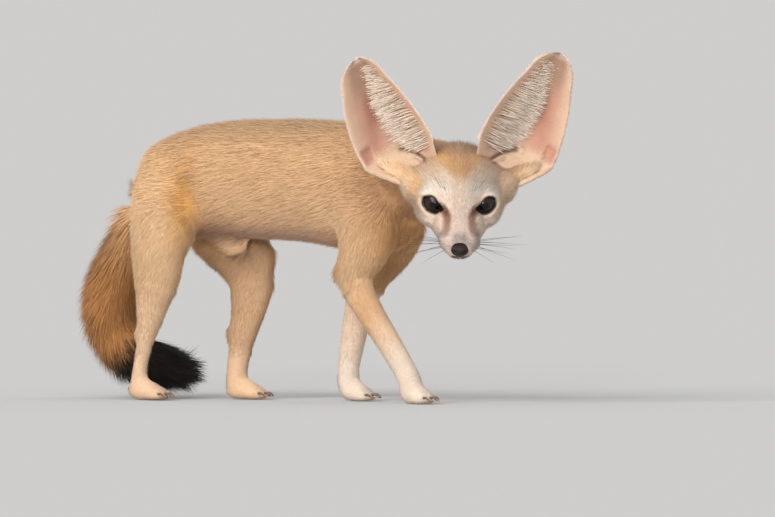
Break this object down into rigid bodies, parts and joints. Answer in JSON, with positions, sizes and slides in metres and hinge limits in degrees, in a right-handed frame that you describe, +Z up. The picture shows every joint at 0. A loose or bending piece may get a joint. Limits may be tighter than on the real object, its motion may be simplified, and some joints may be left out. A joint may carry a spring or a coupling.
{
  "type": "fennec fox",
  "caption": "Fennec fox standing on all fours with its head turned aside, very large upright ears and a bushy tail with a dark tip.",
  "frame": {"origin": "on the floor under the centre of the animal's bounding box", "axes": "+X along the body towards the chest, +Y to the animal's left, +Z up"},
  "size_m": [0.3986, 0.1316, 0.2449],
  "materials": {
    "sand_coat": "short sandy fur",
    "cream_coat": "short cream fur",
    "ear_skin": "thinly haired skin",
    "eye": "wet and glossy",
    "nose_leather": "moist, fine grain",
    "tail_coat": "long brown fur",
    "tail_tip": "long black fur"
  },
  "bodies": {
    "root": {"torso": "sand_coat", "neck": "sand_coat", "foreleg_right_upper": "sand_coat", "foreleg_left_upper": "sand_coat", "thigh_right": "sand_coat", "thigh_left": "sand_coat", "shank_right": "sand_coat", "shank_left": "sand_coat", "foreleg_right_lower": "cream_coat", "foreleg_left_lower": "cream_coat", "paw_fore_right": "cream_coat", "paw_fore_left": "cream_coat", "foot_hind_right": "cream_coat", "foot_hind_left": "cream_coat", "head": "cream_coat", "ear_left": "ear_skin", "ear_right": "ear_skin", "eye_left": "eye", "eye_right": "eye", "nose_pad": "nose_leather", "tail": "tail_coat", "tail_tip": "tail_tip"}
  },
  "joints": []
}
